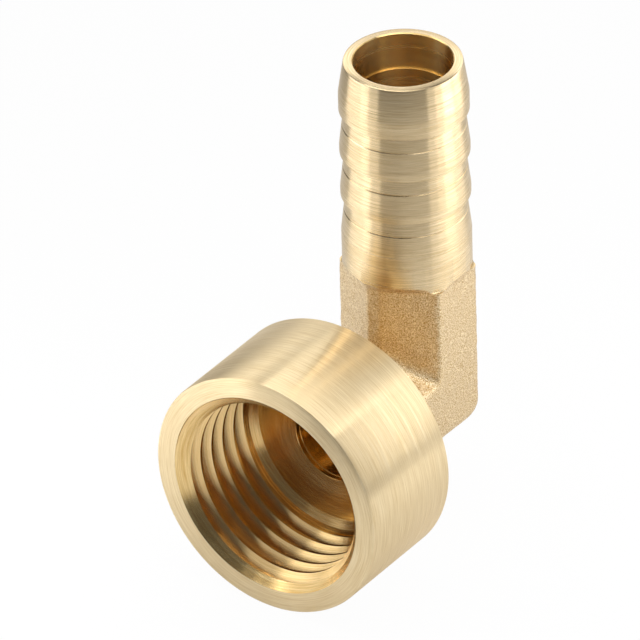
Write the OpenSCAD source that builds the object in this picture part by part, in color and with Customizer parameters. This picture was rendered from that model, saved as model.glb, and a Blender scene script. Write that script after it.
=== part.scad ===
// Elbow fitting, forged and turned from one piece of brass.
// A hose tail stands up along +Z and a threaded pipe socket opens along -Y.
// The origin is where the axes of the two bores cross.

/* [Hose tail] */
// Height of the open end of the tail above the socket's axis
tail_height = 36.1; // [34:0.1:44]
// Diameter over the crests of the ridges, and of the plain root of the tail
crest_d = 12.5; // [12:0.1:13.4]
// Outside diameter at the open end, where the first ridge starts
tip_d = 11.5; // [10.8:0.1:11.8]
// Diameter that each following ridge starts from
root_d = 11.6; // [11:0.1:11.9]
// Number of ridges that end in a sharp step
ridge_count = 3; // [1:1:3]
// Length of the first ridge, from the open end to its step
first_ridge = 5.2; // [4:0.1:6]
// Length of each following ridge, from step to step
ridge_pitch = 4.7; // [4:0.1:5.1]
// Straight land in front of the first step
first_land = 1.7; // [0.8:0.1:2.2]
// Straight land in front of the other steps
land = 0.7; // [0.3:0.1:1.2]
// Length over which a step falls from the crest to the root
step_fall = 0.12; // [0.05:0.01:0.3]
// Length of the last taper, which runs out into the plain root
last_taper = 4.1; // [3:0.1:4.8]
// Bevel on the rim of the open end
tip_break = 0.15; // [0.05:0.05:0.3]

/* [Waterway] */
// Bore down the tail
tail_bore_d = 9.3; // [8.8:0.1:9.6]
// Wider bore inside the open end
tip_bore_d = 9.6; // [9.6:0.05:9.9]
// Depth of that wider bore
tip_bore_depth = 3.9; // [1:0.1:6]
// Bore from the floor of the socket to the bore of the tail
port_d = 8.5; // [7.4:0.1:9]
// Depth of the tail's bore below the socket's axis, without the drill's point
sump = 0.2; // [0:0.1:1.2]
// Angle of the drill's point
drill_angle = 118; // [110:1:135]

/* [Forged neck] */
// Width across the two upright side faces
neck_w = 11.8; // [11.4:0.1:12.4]
// Width across the two narrow flats on the parting line of the dies
neck_h = 11.6; // [11.2:0.1:12]
// Height of each side face, corner to corner
side_flat = 6.2; // [5:0.1:7]
// Width of the narrow flats
seam_flat = 1.5; // [1:0.1:2]
// Rounding of the corners of the side faces
corner_r = 0.7; // [0.3:0.1:0.8]
// Rounding of the outside of the bend, at the side faces
heel_r = 1.5; // [0.8:0.1:2]
// Height of the turned shoulder above the socket's axis
shoulder_height = 13.4; // [13:0.1:14.5]
// Height over which the forging fills out below the turned root
fill_height = 0.9; // [0.5:0.1:1.2]

/* [Socket] */
// Distance from the tail's axis to the open face of the socket
socket_reach = 24.2; // [22:0.1:28]
// Outside diameter of the socket's collar
collar_d = 25.2; // [24.4:0.1:28]
// Length of the collar
collar_length = 12.6; // [12.2:0.1:14]
// Bevel on the two rims of the collar
collar_break = 0.25; // [0.1:0.05:0.5]
// Crest diameter of the half-inch parallel pipe thread, the bore before it is cut
thread_bore_d = 18.631; // [18.1:0.001:19.2]
// Diameter of the countersink at the open face
mouth_d = 21; // [20.6:0.1:22]
// Depth from the open face to the floor of the socket
socket_depth = 11.15; // [10.6:0.05:11.4]
// Diameter of the flat floor, inside the drilled cone
floor_d = 17.3; // [16.4:0.1:17.8]

/* [Hidden] */
brass = "#d9bd7e";
// Overlap between joined shapes, and the run of a cut past a face
lap = 1;
// Facets of the turned surfaces and of the small roundings
$fn = 96;
tip_r = tip_d / 2;
crest_r = crest_d / 2;
root_r = root_d / 2;
// Corner and seam positions of the neck's section
side_x = neck_w / 2;
side_y = side_flat / 2;
seam_x = seam_flat / 2;
seam_y = neck_h / 2;
// Slope of the slanted faces, and how far a corner's rounding reaches along them
slant = atan2(seam_y - side_y, side_x - seam_x);
reach = corner_r * tan((90 - slant) / 2);
// Least distance from the neck's axis to a slanted face
slant_r = side_x * sin(slant) + side_y * cos(slant);
// Distance of the bend's outer centre from both axes
heel_centre = side_y - heel_r;
root_height = shoulder_height + fill_height;
collar_back = socket_reach - collar_length;
socket_floor = socket_reach - socket_depth;
// Length of a drill's point for a bore
function point_length(d) = d / 2 / tan(drill_angle / 2);
// Height of the nth step below the open end, counted from 0
function step_height(n) = tail_height - first_ridge - n * ridge_pitch;

// One ridge of the tail: crest land, step, and the start of the next taper
function ridge(n) = [
    [crest_r, step_height(n) + (n == 0 ? first_land : land)],
    [crest_r, step_height(n)],
    [root_r, step_height(n) - step_fall]
];

// The section of the forged neck, the same for both arms of the bend
module neck_section() {
    quarter = [
        [side_x, side_y - reach],
        [side_x - reach * cos(slant), side_y + reach * sin(slant)],
        [seam_x, seam_y]
    ];
    polygon(concat(
        quarter,
        [for (i = [2:-1:0]) [-quarter[i][0], quarter[i][1]]],
        [for (i = [0:2]) [-quarter[i][0], -quarter[i][1]]],
        [for (i = [2:-1:0]) [quarter[i][0], -quarter[i][1]]]
    ));
    for (x = [-1, 1], y = [-1, 1])
        translate([x * (side_x - corner_r), y * (side_y - reach)])
            circle(r = corner_r);
}

// One arm of the neck, from the bend's outer centre out to a given length
module arm(length) {
    translate([0, 0, -heel_centre])
        linear_extrude(length + heel_centre)
            neck_section();
}

// The rounded outside of the bend, a quarter turn of the section's outer part
module heel() {
    translate([0, heel_centre, -heel_centre])
        rotate([-90, 0, 90])
            rotate_extrude(angle = 90)
                intersection() {
                    translate([-heel_centre, 0])
                        rotate(-90)
                            neck_section();
                    translate([0, -neck_w])
                        square([neck_h, 2 * neck_w]);
                }
}

// The turned hose tail, with its ridges, standing on the forged neck
module hose_tail() {
    rotate_extrude()
        polygon(concat(
            [[0, root_height - lap / 2], [0, tail_height]],
            [[tip_r - tip_break, tail_height], [tip_r, tail_height - tip_break]],
            [for (n = [0:ridge_count - 1]) each ridge(n)],
            [[crest_r, step_height(ridge_count - 1) - last_taper]],
            [[crest_r, root_height], [crest_r - lap / 2, root_height - lap / 2]]
        ));
    // The corners of the neck, turned down to the root's diameter
    intersection() {
        translate([0, 0, shoulder_height - lap])
            linear_extrude(fill_height + lap)
                neck_section();
        cylinder(h = root_height, r = crest_r);
    }
    // Between the corners the forging swells out to the root
    translate([0, 0, shoulder_height])
        cylinder(h = fill_height, r1 = slant_r, r2 = crest_r);
}

// The turned collar round the socket, along +Z of its own frame
module collar() {
    collar_r = collar_d / 2;
    rotate_extrude()
        polygon([
            [0, collar_back],
            [collar_r - collar_break, collar_back],
            [collar_r, collar_back + collar_break],
            [collar_r, socket_reach - collar_break],
            [collar_r - collar_break, socket_reach],
            [0, socket_reach]
        ]);
}

// The bore of the socket: flat floor, drilled cone, thread bore, countersink
module socket_bore() {
    rotate_extrude()
        polygon([
            [0, socket_floor],
            [floor_d / 2, socket_floor],
            [thread_bore_d / 2, socket_floor + (thread_bore_d - floor_d) / 2],
            [thread_bore_d / 2, socket_reach - (mouth_d - thread_bore_d) / 2],
            [mouth_d / 2, socket_reach],
            [mouth_d / 2, socket_reach + lap],
            [0, socket_reach + lap]
        ]);
}

// The bore from the socket's floor to the tail's axis, with its drill point
module port() {
    cylinder(h = socket_floor + lap, d = port_d);
    translate([0, 0, -point_length(port_d)])
        cylinder(h = point_length(port_d), d1 = 0, d2 = port_d);
}

// The bore down the tail, wider at the open end, with its drill point
module tail_bore() {
    rotate_extrude()
        polygon([
            [0, -sump - point_length(tail_bore_d)],
            [tail_bore_d / 2, -sump],
            [tail_bore_d / 2, tail_height - tip_bore_depth],
            [tip_bore_d / 2, tail_height - tip_bore_depth],
            [tip_bore_d / 2, tail_height + lap],
            [0, tail_height + lap]
        ]);
}

// Points what is built along +Z out along the socket's axis
module along_socket() {
    rotate([90, 0, 0])
        children();
}

module elbow_body() {
    color(brass)
        difference() {
            union() {
                arm(shoulder_height);
                along_socket()
                    arm(collar_back + lap);
                heel();
                hose_tail();
                along_socket()
                    collar();
            }
            along_socket()
                socket_bore();
            along_socket()
                port();
            tail_bore();
        }
}

elbow_body();
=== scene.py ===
import math

import bmesh
import bpy
from mathutils import Matrix, Vector


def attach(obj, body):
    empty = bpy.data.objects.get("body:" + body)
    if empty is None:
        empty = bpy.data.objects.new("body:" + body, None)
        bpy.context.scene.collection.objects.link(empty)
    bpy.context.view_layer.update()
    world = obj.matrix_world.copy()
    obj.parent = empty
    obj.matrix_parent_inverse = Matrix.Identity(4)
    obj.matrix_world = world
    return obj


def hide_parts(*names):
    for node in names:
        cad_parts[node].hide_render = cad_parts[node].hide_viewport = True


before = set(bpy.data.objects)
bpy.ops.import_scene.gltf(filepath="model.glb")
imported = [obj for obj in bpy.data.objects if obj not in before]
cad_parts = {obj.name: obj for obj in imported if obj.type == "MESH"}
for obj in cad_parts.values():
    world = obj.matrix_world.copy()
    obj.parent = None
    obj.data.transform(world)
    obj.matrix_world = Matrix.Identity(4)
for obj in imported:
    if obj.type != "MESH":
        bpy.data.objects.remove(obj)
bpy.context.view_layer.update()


# The forged neck: hot brass pressed between two dies into a right-angle bar, then blasted clean.
# Its section has two upright side faces, four slanted faces and two narrow flats where the dies met.
# The inside of the bend is a mitre with a small fillet, and the outside is rounded.
mm = 0.001
neck_wide = 11.8 * mm
neck_high = 11.6 * mm
side_flat = 6.2 * mm
seam_flat = 1.5 * mm
corner_radius = 0.5 * mm
corner_steps = 6
seam_softening = 0.12 * mm
seam_steps = 2
heel_radius = 1.5 * mm
heel_steps = 10
crease_fillet = 1.0 * mm
crease_steps = 6
straight_arm = 10.3 * mm
heel_centre = side_flat / 2 - heel_radius

# Distances within which places count as one, when a piece is cut, welded or searched
cut_gap = 1e-7
weld_gap = 1e-6
wide_weld_gap = 2e-6
search_gap = 1e-5
# A face whose normal has at least this much of a direction faces that way
facing = 0.99


def pick(piece, kind, test):
    """Selects the edges or faces of a piece in edit mode that pass a test of their middle."""
    bpy.ops.mesh.select_mode(type=kind)
    bpy.ops.mesh.select_all(action="DESELECT")
    shape = bmesh.from_edit_mesh(piece.data)
    for part in shape.edges if kind == "EDGE" else shape.faces:
        middle = sum((corner.co for corner in part.verts), Vector()) / len(part.verts)
        if test(middle, part):
            part.select_set(True)
    bmesh.update_edit_mesh(piece.data)


def finish_with(piece, kind, **settings):
    """Adds a modifier to a piece and applies it."""
    bpy.context.view_layer.objects.active = piece
    modifier = piece.modifiers.new(kind.lower(), kind)
    for name, value in settings.items():
        setattr(modifier, name, value)
    bpy.ops.object.modifier_apply(modifier=modifier.name)


def turn_piece(piece, angle):
    """Turns a piece about the X axis and leaves the turn in its mesh."""
    piece.rotation_euler.x = angle
    bpy.ops.object.transform_apply(location=True, rotation=True, scale=True)


def on_mitre(edge):
    """Whether an edge lies in the plane of the bend's mitre."""
    return all(abs(corner.co.y + corner.co.z) < weld_gap for corner in edge.verts)


# A bar of the section's width and height, standing on the centre of the heel's rounding
bpy.ops.object.select_all(action="DESELECT")
bar = straight_arm + heel_centre
bpy.ops.mesh.primitive_cube_add(
    size=1, location=(0, 0, bar / 2 - heel_centre), scale=(neck_wide, neck_high, bar))
neck = bpy.context.object
neck.name = neck.data.name = "elbow_fitting"
bpy.ops.object.transform_apply(location=True, rotation=True, scale=True)

# Its four upright corners are cut to the slanted faces, and the new corners are rounded
slant = math.atan2((neck_high - side_flat) / 2, (neck_wide - seam_flat) / 2)
bpy.ops.object.mode_set(mode="EDIT")
for x, y in ((1, 1), (-1, 1), (-1, -1), (1, -1)):
    bpy.ops.mesh.select_all(action="SELECT")
    bpy.ops.mesh.bisect(
        plane_co=(x * neck_wide / 2, y * side_flat / 2, 0),
        plane_no=(x * math.sin(slant), y * math.cos(slant), 0),
        use_fill=True, clear_outer=True, threshold=cut_gap)
corner_turn = math.pi / 2 - slant
pick(neck, "EDGE", lambda middle, edge: abs(abs(middle.x) - neck_wide / 2) < search_gap
     and abs(abs(middle.y) - side_flat / 2) < search_gap)
bpy.ops.mesh.bevel(offset=corner_radius * math.tan(corner_turn / 2), segments=corner_steps, affect="EDGES")
pick(neck, "EDGE", lambda middle, edge: abs(abs(middle.x) - seam_flat / 2) < search_gap
     and abs(abs(middle.y) - neck_high / 2) < search_gap
     and abs(edge.verts[0].co.z - edge.verts[1].co.z) > mm)
bpy.ops.mesh.bevel(offset=seam_softening, segments=seam_steps, affect="EDGES")

# The bar is cut at the mitre, its heel is turned round the heel's centre, and the other arm mirrors it
mitre_angle = math.radians(45)
bpy.ops.mesh.select_all(action="SELECT")
bpy.ops.mesh.bisect(
    plane_co=(0, 0, 0), plane_no=(0, 1, 1), use_fill=False, clear_inner=True, threshold=cut_gap)
pick(neck, "FACE", lambda middle, face: face.normal.z < -facing)
bpy.ops.mesh.delete(type="FACE")
pick(neck, "EDGE", lambda middle, edge: abs(middle.z + heel_centre) < weld_gap
     and middle.y > heel_centre + weld_gap)
bpy.ops.mesh.spin(
    steps=heel_steps, angle=mitre_angle, center=(0, heel_centre, -heel_centre), axis=(1, 0, 0))
bpy.ops.mesh.select_all(action="SELECT")
bpy.ops.mesh.remove_doubles(threshold=weld_gap)
bpy.ops.object.mode_set(mode="OBJECT")
turn_piece(neck, mitre_angle)
finish_with(neck, "MIRROR", use_axis=(False, False, True), merge_threshold=weld_gap)
turn_piece(neck, -mitre_angle)

# The inside corner of the mitre gets its fillet
bpy.ops.object.mode_set(mode="EDIT")
bpy.ops.mesh.select_all(action="SELECT")
bpy.ops.mesh.normals_make_consistent(inside=False)
pick(neck, "EDGE", lambda middle, edge: on_mitre(edge) and abs(abs(middle.x) - neck_wide / 2) < weld_gap)
bpy.ops.mesh.dissolve_edges(use_verts=False)
pick(neck, "EDGE", lambda middle, edge: on_mitre(edge) and middle.y < 0)
bpy.ops.mesh.bevel(offset=crease_fillet, segments=crease_steps, affect="EDGES")

# The upright arm is lengthened to the height of the blank that the tail is turned from
blank_top = 15.0 * mm
end_depth = 0.1 * mm
pick(neck, "FACE", lambda middle, face: face.normal.z > facing and middle.z > straight_arm - end_depth)
bpy.ops.mesh.extrude_region_move(TRANSFORM_OT_translate={"value": (0, 0, blank_top - straight_arm)})

# The level arm runs out into the back of the collar in a small fillet
collar_back = 11.6 * mm
collar_fillet = 1.3 * mm
collar_fillet_steps = 5
collar_overlap = 1 * mm
pick(neck, "FACE", lambda middle, face: face.normal.y < -facing and middle.y < -straight_arm + end_depth)
width = neck_wide / 2
reached = -straight_arm
for step in range(1, collar_fillet_steps + 1):
    lean = math.radians(90) * step / collar_fillet_steps
    widened = neck_wide / 2 + collar_fillet * (1 - math.cos(lean))
    run = -collar_back + collar_fillet * (1 - math.sin(lean))
    bpy.ops.mesh.extrude_region_move(TRANSFORM_OT_translate={"value": (0, run - reached, 0)})
    bpy.ops.transform.resize(value=(widened / width, 1, widened / width), center_override=(0, run, 0))
    width = widened
    reached = run
bpy.ops.mesh.extrude_region_move(TRANSFORM_OT_translate={"value": (0, -collar_overlap, 0)})
bpy.ops.object.mode_set(mode="OBJECT")

# An even skin of small faces takes the softness that pressing and blasting leave
skin_grid = 0.2 * mm
finish_with(neck, "REMESH", mode="VOXEL", voxel_size=skin_grid, use_smooth_shade=True)
finish_with(neck, "SMOOTH", factor=0.5, iterations=3)

# The hot metal filled out where the tail springs, and swells to a round blank there
swell_low = 13.1 * mm
swell_high = 14.9 * mm
swell_radius = 6.62 * mm
level_arm = -7 * mm
swell = neck.vertex_groups.new(name="swell")
for vertex in neck.data.vertices:
    rise = min(max((vertex.co.z - swell_low) / (swell_high - swell_low), 0), 1)
    if rise > 0 and vertex.co.y > level_arm:
        swell.add([vertex.index], rise * rise * (3 - 2 * rise), "REPLACE")
finish_with(neck, "CAST", cast_type="CYLINDER", factor=1, size=swell_radius, use_radius_as_size=False,
            use_x=True, use_y=True, use_z=False, vertex_group="swell")

# The dies were worn, so its faces rise and fall a little from place to place
unevenness = bpy.data.textures.new("die_wear", "CLOUDS")
unevenness.noise_scale = 1.1 * mm
unevenness.noise_depth = 2
finish_with(neck, "DISPLACE", texture=unevenness, texture_coords="LOCAL", mid_level=0.5,
            strength=0.13 * mm)


def linear(colour):
    """The linear colour of an sRGB hex value, by the standard's curve."""
    parts = [int(colour[i:i + 2], 16) / 255 for i in (1, 3, 5)]
    return tuple(
        part / 12.92 if part <= 0.04045 else ((part + 0.055) / 1.055) ** 2.4 for part in parts) + (1,)


def add_node(tree, kind, settings, links):
    """Adds a node, sets its properties, and links or sets its inputs."""
    node = tree.nodes.new(kind)
    for name, value in settings.items():
        setattr(node, name, value)
    for name, value in links.items():
        if isinstance(value, bpy.types.NodeSocket):
            tree.links.new(value, node.inputs[name])
        else:
            node.inputs[name].default_value = value
    return node


# Blasted forging brass: a matt, even skin of tiny dents, which breaks a reflection into soft sparkle. The
# sparkle is partly painted: the colour is painted darker in each dent and paler on its rim.
# It is a little redder than the turned metal, because heat has taken some zinc from the surface.
# The dents are about 0.12 mm across, just over a pixel of the render. They are drawn deeper than
# blasting leaves them, or they would not show.
dent_size = 0.12 * mm
dent_depth = 0.07 * mm
tone_size = 1.5 * mm
forging_skin = bpy.data.materials.new("blasted_forging_brass")
forging_skin.use_nodes = True
tree = forging_skin.node_tree
tree.nodes.clear()
place = add_node(tree, "ShaderNodeTexCoord", {}, {}).outputs["Object"]
dents = add_node(tree, "ShaderNodeTexNoise", {}, {
    "Vector": place, "Scale": 1 / dent_size, "Detail": 2.0, "Roughness": 0.6})
bump = add_node(tree, "ShaderNodeBump", {}, {
    "Height": dents.outputs["Fac"], "Strength": 1.0, "Distance": dent_depth})
tone = add_node(tree, "ShaderNodeTexNoise", {}, {
    "Vector": place, "Scale": 1 / tone_size, "Detail": 2.0, "Roughness": 0.5})
# Painted shade and highlight of the dents: the colour goes from dark where the dent noise is low to pale
# where it is high.
shade = add_node(tree, "ShaderNodeMapRange", {}, {
    "Value": dents.outputs["Fac"], "From Min": 0.36, "From Max": 0.64})
colour_with_painted_shade = add_node(tree, "ShaderNodeMix", {"data_type": "RGBA"}, {
    "Factor": shade.outputs["Result"], "A": linear("#BB965C"), "B": linear("#FCE9C4")})
worn = add_node(tree, "ShaderNodeMapRange", {}, {
    "Value": tone.outputs["Fac"], "From Min": 0.3, "From Max": 0.7, "To Min": 0.31, "To Max": 0.39})
skin = add_node(tree, "ShaderNodeBsdfPrincipled", {}, {
    "Base Color": colour_with_painted_shade.outputs["Result"], "Metallic": 1.0, "Roughness": worn.outputs["Result"],
    "Normal": bump.outputs["Normal"]})
add_node(tree, "ShaderNodeOutputMaterial", {}, {"Surface": skin.outputs["BSDF"]})
neck.data.materials.append(forging_skin)


# The hose tail, turned down from a round stub on the forging with a sharp-nosed tool.
# Three ridges fall to sharp steps; the first has a long land, and each taper has a fine tool line.
# The corners of the forging are turned down with it, to a clean shoulder.
tail_top = 36.1 * mm
crest = 6.25 * mm
root = 5.8 * mm
tip = 5.75 * mm
first_ridge = 5.2 * mm
ridge_pitch = 4.7 * mm
last_taper = 4.1 * mm
first_land = 1.7 * mm
land = 0.7 * mm
step_fall = 0.12 * mm
tool_line = 1.65 * mm
line_depth = 0.05 * mm
line_half = 0.08 * mm
shoulder = 13.4 * mm
shoulder_bevel = 0.1 * mm
rounds = 256


def cut_brass(name, axis, roughness, spread, feed, depth, dark, light):
    """Brass cut by a tool that went round an axis: broken rings, and reflections drawn out across them.

    The feed is the tool's advance in one turn and the depth is that of the ring it leaves. The spread
    is how far the rings draw a reflection out. Dark and light are the brass's colour with painted
    shade in the rings and painted light between them.
    """
    material = bpy.data.materials.new(name)
    material.use_nodes = True
    tree = material.node_tree
    tree.nodes.clear()
    scratch_length = 4 * mm
    band_share = 0.15
    unevenness_share = 0.08
    beside_axis = tuple((1 - abs(part)) / scratch_length for part in axis)
    place = add_node(tree, "ShaderNodeTexCoord", {}, {}).outputs["Object"]
    # The tool's travel is along the axis on a round face, and along the radius on a flat one
    along = add_node(tree, "ShaderNodeVectorMath", {"operation": "DOT_PRODUCT"}, {0: place, 1: axis})
    round_axis = add_node(tree, "ShaderNodeVectorMath", {"operation": "CROSS_PRODUCT"}, {
        0: tuple(axis), 1: place})
    radius = add_node(tree, "ShaderNodeVectorMath", {"operation": "LENGTH"}, {
        0: round_axis.outputs["Vector"]})
    travel = add_node(tree, "ShaderNodeMath", {"operation": "ADD"}, {
        0: along.outputs["Value"], 1: radius.outputs["Value"]})
    turns = add_node(tree, "ShaderNodeMath", {"operation": "DIVIDE"}, {0: travel.outputs[0], 1: feed})
    ring = add_node(tree, "ShaderNodeVectorMath", {"operation": "SCALE"}, {
        0: tuple(axis), "Scale": turns.outputs[0]})
    streak = add_node(tree, "ShaderNodeVectorMath", {"operation": "MULTIPLY_ADD"}, {
        0: place, 1: beside_axis, 2: ring.outputs["Vector"]})
    lines = add_node(tree, "ShaderNodeTexNoise", {}, {
        "Vector": streak.outputs["Vector"], "Scale": 1.0, "Detail": 3.0, "Roughness": 0.65})
    bands = add_node(tree, "ShaderNodeTexNoise", {"noise_dimensions": "1D"}, {
        "W": turns.outputs[0], "Scale": band_share, "Detail": 3.0})
    bump = add_node(tree, "ShaderNodeBump", {}, {
        "Height": lines.outputs["Fac"], "Strength": 1.0, "Distance": depth})
    # A reflection is drawn out at right angles to the rings
    normal = add_node(tree, "ShaderNodeNewGeometry", {}, {}).outputs["Normal"]
    across = add_node(tree, "ShaderNodeVectorMath", {"operation": "CROSS_PRODUCT"}, {
        0: normal, 1: round_axis.outputs["Vector"]})
    drawn = add_node(tree, "ShaderNodeVectorMath", {"operation": "NORMALIZE"}, {0: across.outputs["Vector"]})
    # Painted ring shade: the colour is darker where the ring noise is low, in the rings, and paler between
    # them, on top of the bump's own shading.
    shade = add_node(tree, "ShaderNodeMapRange", {}, {
        "Value": lines.outputs["Fac"], "From Min": 0.3, "From Max": 0.7})
    colour_with_painted_shade = add_node(tree, "ShaderNodeMix", {"data_type": "RGBA"}, {
        "Factor": shade.outputs["Result"], "A": linear(dark), "B": linear(light)})
    worn = add_node(tree, "ShaderNodeMapRange", {}, {
        "Value": bands.outputs["Fac"], "From Min": 0.3, "From Max": 0.7,
        "To Min": roughness * (1 - unevenness_share), "To Max": roughness * (1 + unevenness_share)})
    metal = add_node(tree, "ShaderNodeBsdfPrincipled", {}, {
        "Base Color": colour_with_painted_shade.outputs["Result"], "Metallic": 1.0, "Roughness": worn.outputs["Result"],
        "Anisotropic": spread, "Tangent": drawn.outputs["Vector"], "Normal": bump.outputs["Normal"]})
    add_node(tree, "ShaderNodeOutputMaterial", {}, {"Surface": metal.outputs["BSDF"]})
    return material


def drawn_line(name, points):
    """A new object: one line through points that all lie in the plane of the X axis and a turning axis."""
    bpy.ops.object.select_all(action="DESELECT")
    bpy.ops.mesh.primitive_plane_add(size=mm, location=(0, 0, 0))
    piece = bpy.context.object
    piece.name = piece.data.name = name
    bpy.ops.object.mode_set(mode="EDIT")
    bpy.ops.mesh.select_mode(type="VERT")
    bpy.ops.mesh.select_all(action="SELECT")
    bpy.ops.mesh.merge(type="CENTER")
    bpy.ops.transform.translate(value=points[0])
    for here, there in zip(points, points[1:]):
        bpy.ops.mesh.extrude_region_move(TRANSFORM_OT_translate={"value": there - here})
    bpy.ops.object.mode_set(mode="OBJECT")
    return piece


def turned(name, material, outline, axis, steps=rounds):
    """Turns an outline of (radius, place along the axis) points into a closed solid."""
    piece = drawn_line(name, [Vector((radius, 0, 0)) + axis * place for radius, place in outline])
    bpy.ops.object.mode_set(mode="EDIT")
    bpy.ops.mesh.select_all(action="SELECT")
    bpy.ops.mesh.spin(steps=steps, angle=math.tau, center=(0, 0, 0), axis=axis)
    bpy.ops.mesh.select_all(action="SELECT")
    bpy.ops.mesh.remove_doubles(threshold=weld_gap)
    bpy.ops.mesh.normals_make_consistent(inside=False)
    bpy.ops.object.mode_set(mode="OBJECT")
    piece.data.materials.append(material)
    return piece


def machine(piece, tool, operation="DIFFERENCE"):
    """Cuts a piece with a tool's shape, or joins the two; each keeps its own finish."""
    finish_with(piece, "BOOLEAN", operation=operation, object=tool, solver="EXACT", material_mode="TRANSFER")
    bpy.data.objects.remove(tool, do_unlink=True)


# Turned tail brass: the feed of 0.08 mm is just under a pixel of the render, so its rings show as a
# fine grain of bumps and painted ring shade, and they draw each soft box out into a long streak up the tail.
up = Vector((0, 0, 1))
turned_tail = cut_brass(
    "turned_brass_tail", up, roughness=0.26, spread=0.93, feed=0.08 * mm, depth=0.002 * mm,
    dark="#D2B787", light="#F6E0B8")
stub_radius = 7 * mm
stub_foot = blank_top - 0.4 * mm
stub_top = tail_top + mm
stub_rounds = 64
stub = turned("stub", turned_tail, [
    (0, stub_foot),
    (stub_radius, stub_foot),
    (stub_radius, stub_top),
    (0, stub_top)], up, stub_rounds)
machine(neck, stub, "UNION")

# The tool's path down the tail: the rim, the ridges with their tapers, the plain root and the shoulder
edge = 0.04 * mm
rim_width = 0.22 * mm
rim_fall = 0.06 * mm
lands = (first_land, land, land)
barb = [
    (0, tail_top),
    (tip - rim_width, tail_top),
    (tip - rim_fall, tail_top - rim_fall),
    (tip, tail_top - rim_width)]
for ridge, flat in enumerate(lands):
    step = tail_top - first_ridge - ridge * ridge_pitch
    barb += [
        (crest - edge / 4, step + flat + edge * 3),
        (crest, step + flat),
        (crest, step + edge),
        (crest - edge, step),
        (root + edge, step - step_fall),
        (root, step - step_fall - edge)]
    taper_start = step - step_fall
    taper_end = step - (last_taper if ridge == len(lands) - 1 else ridge_pitch - land)
    taper_rise = crest - root
    for drop, deep in ((tool_line - line_half, 0), (tool_line, line_depth), (tool_line + line_half, 0)):
        barb.append((root + taper_rise * (drop - step_fall) / (taper_start - taper_end) - deep, step - drop))
clear_radius = 9.5 * mm
clear_top = tail_top + 3 * mm
barb += [
    (crest, step - last_taper),
    (crest, shoulder + shoulder_bevel),
    (crest + shoulder_bevel, shoulder),
    (clear_radius, shoulder),
    (clear_radius, clear_top),
    (0, clear_top)]
machine(neck, turned("turning_tool", turned_tail, barb, up))


# The collar round the socket, turned all over, with a broken edge at each rim.
# It is the widest part of the fitting, and its flat front ring is where a washer would sit.
collar_radius = 12.6 * mm
socket_face = 24.2 * mm
edge_break = 0.25 * mm
edge_ease = edge_break * 0.3
out = Vector((0, -1, 0))
# Turned collar brass: the same fine feed with a duller cut, so that it shows broad soft gradients
# with a fine grain of rings, drawn as bumps and painted ring shade, instead of clear shapes.
turned_collar = cut_brass(
    "turned_brass_collar", out, roughness=0.33, spread=1.0, feed=0.08 * mm, depth=0.002 * mm,
    dark="#DFC492", light="#FCE8C0")
collar = turned("collar", turned_collar, [
    (0, collar_back),
    (collar_radius - edge_break, collar_back),
    (collar_radius - edge_ease, collar_back + edge_ease),
    (collar_radius, collar_back + edge_break),
    (collar_radius, socket_face - edge_break),
    (collar_radius - edge_ease, socket_face - edge_ease),
    (collar_radius - edge_break, socket_face),
    (0, socket_face)], out)
machine(neck, collar, "UNION")


# The socket, drilled to a flat floor with a cone round it, bored, and opened at the mouth.
# A half-inch parallel pipe thread is cut in it and stops short of the floor.
# In the plain band past the thread's end the boring tool has left two fine rings.
thread_bore = 9.3155 * mm
floor_radius = 8.65 * mm
socket_floor = 13.05 * mm
mouth = 10.5 * mm
past = socket_face + 2 * mm
first_groove = 13.88 * mm
second_groove = first_groove + 0.32 * mm
groove_half = 0.1 * mm
groove_depth = 0.06 * mm
# Bored socket brass: coarser rings, which break the light on the floor into fine circles; their shade is
# also painted into the colour, darker in the rings and paler between them. A boring tool's feed of 0.1 mm
# or so would hardly show, so the rings are drawn coarser, 0.18 mm apart.
bored_socket = cut_brass(
    "bored_brass_socket", out, roughness=0.2, spread=1.0, feed=0.18 * mm, depth=0.004 * mm,
    dark="#DBB068", light="#FBDFA4")
machine(neck, turned("socket_drill", bored_socket, [
    (0, socket_floor),
    (floor_radius, socket_floor),
    (thread_bore, socket_floor + thread_bore - floor_radius),
    (thread_bore, first_groove - groove_half),
    (thread_bore + groove_depth, first_groove),
    (thread_bore, first_groove + groove_half),
    (thread_bore, second_groove - groove_half),
    (thread_bore + groove_depth, second_groove),
    (thread_bore, second_groove + groove_half),
    (thread_bore, socket_face - (mouth - thread_bore)),
    (mouth, socket_face),
    (mouth, past),
    (0, past)], out))

# Cut thread brass: bright flanks with hardly any grain, on which one turn mirrors the next. The rings
# of a real tap are too fine to show, so they are drawn 0.1 mm apart, one pixel of the render.
cut_thread = cut_brass(
    "cut_brass_thread", out, roughness=0.2, spread=1.0, feed=0.1 * mm, depth=0.0015 * mm,
    dark="#E2BC7A", light="#F9DAA2")
# The tap's tooth is a V of 55 degrees with a small round nose; worn crests leave it a little wider
pitch = 1.814 * mm
thread_root = 10.4775 * mm
thread_end = 14.5 * mm
flank = math.radians(27.5)
nose = 0.08 * pitch
nose_steps = 6
nose_centre = thread_root - nose
foot = thread_bore - 0.12 * mm
crest_wear = 0.07 * mm
flank_end = (nose_centre + nose * math.sin(flank), nose * math.cos(flank))
flank_foot = flank_end[1] + (flank_end[0] - foot) * math.tan(flank) + crest_wear
tooth = [(foot, 0), (foot, pitch / 2 - flank_foot)]
for step in range(nose_steps + 1):
    lean = flank + (math.pi - 2 * flank) * step / nose_steps
    tooth.append((nose_centre + nose * math.sin(lean), pitch / 2 - nose * math.cos(lean)))
tooth += [(foot, pitch / 2 + flank_foot), (foot, pitch)]
tap = drawn_line("tap", [Vector((radius, place, 0)) for radius, place in tooth])

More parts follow.
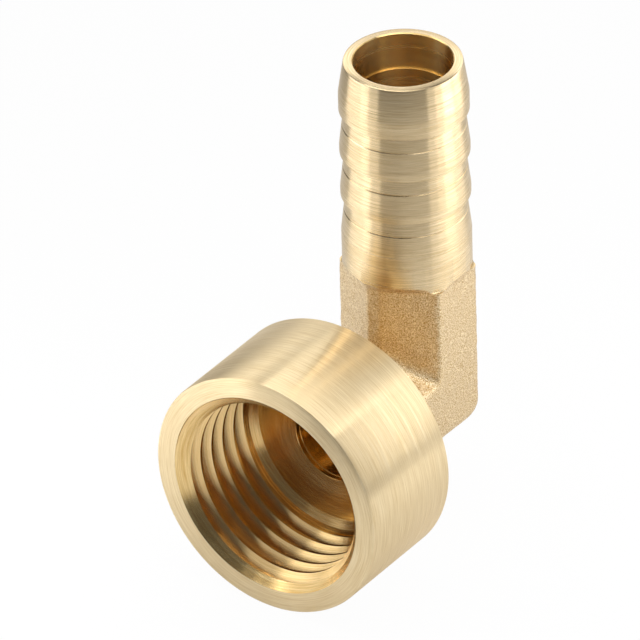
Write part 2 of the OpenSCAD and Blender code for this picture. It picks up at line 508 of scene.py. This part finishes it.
# It is wound past both ends of the thread, put in phase, cut off square at each end and closed
tap_turns = 8
tap_rounds = 192
tap_lead = 2.04 * pitch
tap_past = 0.5 * mm
finish_with(tap, "SCREW", axis="Y", angle=math.tau, screw_offset=pitch, iterations=tap_turns,
            steps=tap_rounds, render_steps=tap_rounds, use_merge_vertices=True,
            merge_threshold=weld_gap, use_smooth_shade=True)
tap.location.y = -socket_face - tap_lead
bpy.ops.object.transform_apply(location=True, rotation=True, scale=True)
bpy.ops.object.mode_set(mode="EDIT")
bpy.ops.mesh.select_all(action="SELECT")
bpy.ops.mesh.remove_doubles(threshold=wide_weld_gap)
for place, side in ((-thread_end, 1), (-socket_face - tap_past, -1)):
    bpy.ops.mesh.select_all(action="SELECT")
    bpy.ops.mesh.bisect(
        plane_co=(0, place, 0), plane_no=(0, side, 0), use_fill=True, clear_outer=True, threshold=cut_gap)
bpy.ops.mesh.select_all(action="SELECT")
bpy.ops.mesh.remove_doubles(threshold=weld_gap)
bpy.ops.mesh.normals_make_consistent(inside=False)
bpy.ops.object.mode_set(mode="OBJECT")
tap.data.materials.append(cut_thread)
machine(neck, tap)


# The waterway: a port from the socket's floor and a bore down the tail, drilled till they meet.
# The tail's bore is a little wider inside the open end, and each open rim has a broken edge.
drill_lean = math.tan(math.radians(59))
port = 4.25 * mm
port_rounds = 128
port_ring = socket_floor - 0.6 * mm
port_ring_size = 0.05 * mm
port_break = 0.06 * mm
tail_bore = 4.65 * mm
tip_bore = 4.8 * mm
tip_depth = 3.9 * mm
tip_break = 0.1 * mm
sump = 0.2 * mm
drill_past = 1 * mm
# Drilled bore and port brass: the drill's lips leave rings that a look down the hole shows as broken
# bright lines, partly painted light: the colour is paler between the rings and darker in them.
# Feeds of 0.12 and 0.14 mm are near a drill's own, and just over a pixel of the render.
drilled_bore = cut_brass(
    "drilled_brass_bore", up, roughness=0.26, spread=1.0, feed=0.12 * mm, depth=0.004 * mm,
    dark="#E4BF7A", light="#FADB9C")
drilled_port = cut_brass(
    "drilled_brass_port", out, roughness=0.22, spread=0.8, feed=0.14 * mm, depth=0.003 * mm,
    dark="#E4BF7A", light="#FADB9C")
machine(neck, turned("port_drill", drilled_port, [
    (0, -port / drill_lean),
    (port, 0),
    (port, port_ring - port_ring_size),
    (port + port_ring_size, port_ring),
    (port, port_ring + port_ring_size),
    (port, socket_floor - port_break),
    (port + port_break, socket_floor),
    (port + port_break, socket_floor + drill_past),
    (0, socket_floor + drill_past)], out, port_rounds))
machine(neck, turned("tail_drill", drilled_bore, [
    (0, -sump - tail_bore / drill_lean),
    (tail_bore, -sump),
    (tail_bore, tail_top - tip_depth),
    (tip_bore, tail_top - tip_depth),
    (tip_bore, tail_top - tip_break),
    (tip_bore + tip_break, tail_top),
    (tip_bore + tip_break, tail_top + drill_past),
    (0, tail_top + drill_past)], up))

# The finished fitting: slivers left by the cuts are welded, and edges below this angle look smooth
smooth_below = math.radians(28)
bpy.ops.object.select_all(action="DESELECT")
neck.select_set(True)
bpy.context.view_layer.objects.active = neck
bpy.ops.object.mode_set(mode="EDIT")
bpy.ops.mesh.select_all(action="SELECT")
bpy.ops.mesh.remove_doubles(threshold=wide_weld_gap)
bpy.ops.mesh.dissolve_degenerate(threshold=wide_weld_gap)
bpy.ops.object.mode_set(mode="OBJECT")
bpy.ops.object.shade_smooth_by_angle(angle=smooth_below)
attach(neck, "root")
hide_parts("elbow_body")


# The studio: pale paper under the fitting, with soft boxes at both sides, behind and overhead.
# The camera sees the paper as white, with a trace of the fitting's shadow. Metal sees a share of that
# white over the paper's own light, because all of it would take the dark bands off the tail.
paper_level = -12.6 * mm
paper_width = 1200 * mm
paper_white = 0.97
reflected_share = 0.3
bpy.ops.mesh.primitive_plane_add(size=paper_width, location=(0, 0, paper_level))
paper = bpy.context.object
paper.name = paper.data.name = "paper"
bpy.ops.object.transform_apply(location=True, rotation=True, scale=True)
white_paper = bpy.data.materials.new("white_paper")
white_paper.use_nodes = True
tree = white_paper.node_tree
tree.nodes.clear()
path = add_node(tree, "ShaderNodeLightPath", {}, {})
matt = add_node(tree, "ShaderNodeBsdfDiffuse", {}, {"Color": linear("#F2F2F2")})
white = add_node(tree, "ShaderNodeEmission", {}, {"Color": (1, 1, 1, 1), "Strength": 1.0})
reflected = add_node(tree, "ShaderNodeMath", {"operation": "ADD"}, {
    0: path.outputs["Is Glossy Ray"], 1: path.outputs["Is Transmission Ray"]})
bright = add_node(tree, "ShaderNodeMath", {"operation": "MULTIPLY_ADD"}, {
    0: reflected.outputs[0], 1: reflected_share, 2: path.outputs["Is Camera Ray"]})
seen = add_node(tree, "ShaderNodeMath", {"operation": "MULTIPLY"}, {0: bright.outputs[0], 1: paper_white})
paper_face = add_node(tree, "ShaderNodeMixShader", {}, {
    "Fac": seen.outputs[0], 1: matt.outputs["BSDF"], 2: white.outputs["Emission"]})
add_node(tree, "ShaderNodeOutputMaterial", {}, {"Surface": paper_face.outputs["Shader"]})
paper.data.materials.append(white_paper)


def soft_light(name, middle, towards, width, height, brightness, spread=180):
    """A soft box that faces the fitting; at brightness 1 a mirror shows it just white."""
    bpy.ops.object.light_add(type="AREA", location=middle)
    light = bpy.context.object
    light.name = light.data.name = name
    light.rotation_euler = towards.to_track_quat("Z", "Y").to_euler()
    light.data.shape = "RECTANGLE"
    light.data.size = width
    light.data.size_y = height
    light.data.energy = math.pi * width * height * brightness
    light.data.spread = math.radians(spread)
    light.visible_camera = False


def upright_light(name, azimuth, distance, along, level, width, height, brightness):
    """A soft box that stands upright, at an azimuth in degrees from the tail's axis."""
    turn = math.radians(azimuth)
    towards = Vector((math.cos(turn), math.sin(turn), 0))
    side = Vector((-math.sin(turn), math.cos(turn), 0))
    soft_light(name, towards * distance + side * along + up * level, towards, width, height, brightness)


# A soft box, a bright strip and a dim wall at the right, which the collar and the tail mirror
upright_light("right_softbox", azimuth=30, distance=62 * mm, along=-2 * mm, level=34 * mm,
              width=70 * mm, height=64 * mm, brightness=0.56)
upright_light("right_strip", azimuth=30, distance=60 * mm, along=-6 * mm, level=40 * mm,
              width=24 * mm, height=70 * mm, brightness=1)
upright_light("right_wall", azimuth=30, distance=70 * mm, along=-10 * mm, level=50 * mm,
              width=120 * mm, height=124 * mm, brightness=0.54)
upright_light("far_right_softbox", azimuth=60, distance=80 * mm, along=0, level=45 * mm,
              width=60 * mm, height=70 * mm, brightness=1.05)

# Soft boxes at the left, for the front ring and the socket, with a brighter lamp above them
upright_light("left_softbox", azimuth=212, distance=75 * mm, along=10 * mm, level=14 * mm,
              width=70 * mm, height=50 * mm, brightness=0.9)
upright_light("left_front_softbox", azimuth=245, distance=85 * mm, along=0, level=20 * mm,
              width=50 * mm, height=60 * mm, brightness=0.62)
upright_light("left_lamp", azimuth=212, distance=75 * mm, along=0, level=76 * mm,
              width=50 * mm, height=68 * mm, brightness=2.6)

# A wide pair behind, one overhead, and two lamps with a narrow beam over the paper at either side
upright_light("back_softbox", azimuth=122, distance=112 * mm, along=0, level=32 * mm,
              width=180 * mm, height=86 * mm, brightness=0.54)
upright_light("back_lamp", azimuth=122, distance=112 * mm, along=0, level=108 * mm,
              width=180 * mm, height=66 * mm, brightness=1.5)
soft_light("overhead_softbox", Vector((20, -15, 120)) * mm, up,
           width=160 * mm, height=70 * mm, brightness=2.8)
soft_light("left_floor_lamp", Vector((-44, -42, 50)) * mm, up,
           width=50 * mm, height=50 * mm, brightness=1.1, spread=70)
soft_light("right_floor_lamp", Vector((56, 26, 50)) * mm, up,
           width=50 * mm, height=50 * mm, brightness=0.9, spread=70)

# The rest of the room is dim
room_light = 0.1
world = bpy.data.worlds.new("studio")
bpy.context.scene.world = world
world.use_nodes = True
tree = world.node_tree
tree.nodes.clear()
air = add_node(tree, "ShaderNodeBackground", {}, {"Color": (1, 1, 1, 1), "Strength": room_light})
add_node(tree, "ShaderNodeOutputWorld", {}, {"Surface": air.outputs["Background"]})


# The camera, at the photograph's angle: from the socket's side, a third of a right angle up.
# It stands well back with a long lens, aims between the two arms, and is shifted to frame the fitting.
aim = Vector((0, -10.08, 12.1)) * mm
view_azimuth = math.radians(35.808)
view_elevation = math.radians(32.827)
view_roll = math.radians(-1.516)
view_distance = 1178.9 * mm
shift_right = -2.608 * mm
shift_up = 0.0998 * mm
sensor_width = 36
picture_width = 640
focal_pixels = 12396
nearest = 0.01
back = Vector((
    math.sin(view_azimuth) * math.cos(view_elevation),
    -math.cos(view_azimuth) * math.cos(view_elevation),
    math.sin(view_elevation)))
level = Vector((math.cos(view_azimuth), math.sin(view_azimuth), 0))
upright = back.cross(level)
right = level * math.cos(view_roll) + upright * math.sin(view_roll)
upward = upright * math.cos(view_roll) - level * math.sin(view_roll)
stand = aim + back * view_distance + right * shift_right + upward * shift_up
camera = bpy.data.objects.new("camera", bpy.data.cameras.new("camera"))
bpy.context.collection.objects.link(camera)
camera.data.sensor_width = sensor_width
camera.data.lens = focal_pixels * sensor_width / picture_width
camera.data.clip_start = nearest
camera.matrix_world = Matrix.Translation(stand) @ Matrix((right, upward, back)).transposed().to_4x4()
bpy.context.scene.camera = camera
bpy.context.scene.view_settings.view_transform = "Standard"
